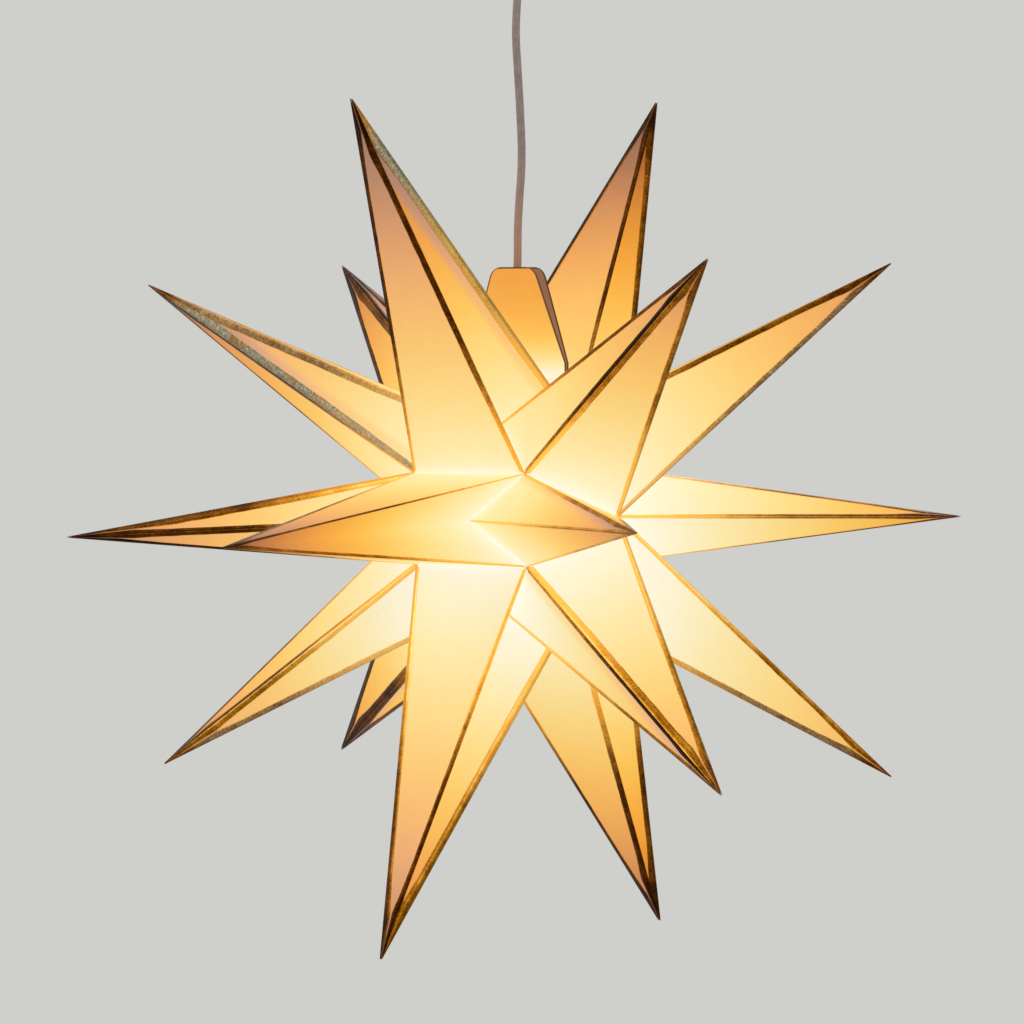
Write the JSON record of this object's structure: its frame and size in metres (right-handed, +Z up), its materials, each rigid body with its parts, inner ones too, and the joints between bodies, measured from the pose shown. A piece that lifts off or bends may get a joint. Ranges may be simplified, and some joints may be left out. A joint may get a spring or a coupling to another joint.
{
  "type": "paper advent star lamp",
  "caption": "Hanging star lamp of folded translucent paper with gilt ridges, a bulb inside and a cord that leaves between two flap panels.",
  "frame": {"origin": "centre of the ceiling strap's upper face, on the ceiling", "axes": "+Z up into the ceiling, X along the spine that the rows of rays stand round, -Y towards the side with the front flap panel"},
  "size_m": [0.404, 0.5796, 0.6274],
  "materials": {
    "gilt_edged_paper": "matte",
    "zinc_plated_steel": "satin",
    "white_plastic": "gloss",
    "steatite": "matte",
    "brass": "satin",
    "opal_glass": "satin",
    "pvc_cord": "satin",
    "clear_plastic": "gloss"
  },
  "bodies": {
    "root": {"spine_sheet_1": "gilt_edged_paper", "spine_sheet_3": "gilt_edged_paper", "spine_sheet_4": "gilt_edged_paper", "spine_sheet_5": "gilt_edged_paper", "spine_sheet_6": "gilt_edged_paper", "pole_sheet_right_1": "gilt_edged_paper", "pole_sheet_right_3": "gilt_edged_paper", "pole_sheet_right_4": "gilt_edged_paper", "pole_sheet_right_5": "gilt_edged_paper", "pole_sheet_right_6": "gilt_edged_paper", "pole_sheet_left_1": "gilt_edged_paper", "pole_sheet_left_3": "gilt_edged_paper", "pole_sheet_left_4": "gilt_edged_paper", "pole_sheet_left_5": "gilt_edged_paper", "pole_sheet_left_6": "gilt_edged_paper", "wing_sheet_right_1": "gilt_edged_paper", "wing_sheet_right_2": "gilt_edged_paper", "wing_sheet_right_3": "gilt_edged_paper", "wing_sheet_right_4": "gilt_edged_paper", "wing_sheet_right_5": "gilt_edged_paper", "wing_sheet_right_6": "gilt_edged_paper", "wing_sheet_left_1": "gilt_edged_paper", "wing_sheet_left_2": "gilt_edged_paper", "wing_sheet_left_3": "gilt_edged_paper", "wing_sheet_left_4": "gilt_edged_paper", "wing_sheet_left_5": "gilt_edged_paper", "wing_sheet_left_6": "gilt_edged_paper", "end_sheet_front": "gilt_edged_paper", "end_sheet_back": "gilt_edged_paper", "end_pole_sheet_front_right": "gilt_edged_paper", "end_pole_sheet_front_left": "gilt_edged_paper", "end_pole_sheet_back_right": "gilt_edged_paper", "end_pole_sheet_back_left": "gilt_edged_paper", "hanger": "zinc_plated_steel", "hanger_nut": "zinc_plated_steel", "holder_nipple": "white_plastic", "holder_cap": "white_plastic", "contact_block": "steatite", "holder_sleeve": "white_plastic", "screw_shell": "brass", "bulb": "opal_glass", "cord": "pvc_cord", "ceiling_strap": "zinc_plated_steel", "ceiling_cup": "white_plastic", "cup_screws": "zinc_plated_steel", "terminal_block": "clear_plastic", "cup_grip": "white_plastic", "cup_nut": "zinc_plated_steel"}
  },
  "joints": []
}
